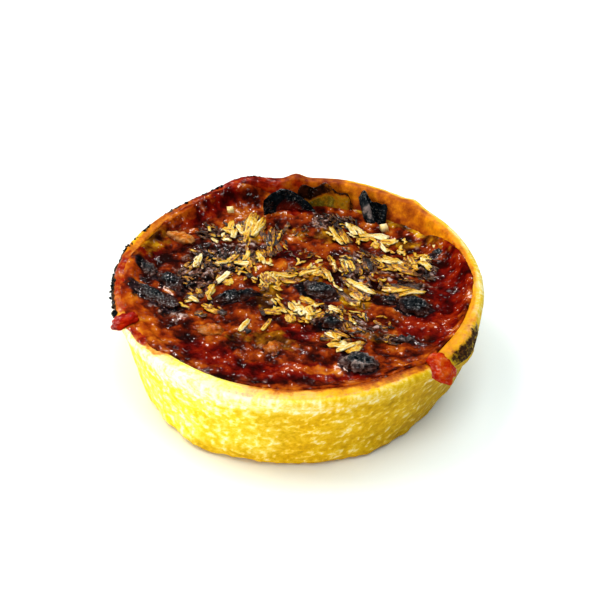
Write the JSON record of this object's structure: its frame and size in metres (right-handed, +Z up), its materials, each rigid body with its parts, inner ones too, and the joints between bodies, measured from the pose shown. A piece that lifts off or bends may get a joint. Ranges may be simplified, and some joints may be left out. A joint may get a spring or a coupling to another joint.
{
  "type": "quiche",
  "caption": "Individual deep round quiche with a pale pastry case, a dark baked tomato filling, browned grated cheese and charred vegetable pieces.",
  "frame": {"origin": "middle of the flat underside", "axes": "+Z up out of the filling, -Y to the front of the quiche, +X to its right"},
  "size_m": [0.1097, 0.1105, 0.0328],
  "materials": {
    "pastry": "baked shortcrust, pale yellow, matte, with an oily sheen at the rim",
    "tomato_filling": "dark red-brown baked tomato filling, oily and glossy, with browned cheese shreds",
    "charred": "charred vegetable skin, blue-black, half glossy",
    "pepper": "roasted pepper, orange-brown, glossy",
    "tomato": "cooked tomato, bright orange-red, wet",
    "onion": "browned onion petal, amber, thin and translucent"
  },
  "bodies": {
    "root": {"pastry_case": "pastry", "filling": "tomato_filling", "char_curl_back": "charred", "char_flake_back": "charred", "onion_petal_back": "onion", "char_chunk_centre": "charred", "char_crescent_left": "charred", "char_chunk_right": "charred", "char_nib_right": "charred", "char_chunk_front": "charred", "char_chunk_mid_front": "charred", "char_sliver_front": "charred", "char_lobe_left": "charred", "char_lobe_mid_left": "charred", "char_lobe_back_left": "charred", "char_bead_right": "charred", "pepper_strip_left": "pepper", "pepper_slab_front_left": "pepper", "pepper_slab_front": "pepper", "tomato_edge_left": "tomato", "tomato_spill_right": "tomato"}
  },
  "joints": []
}
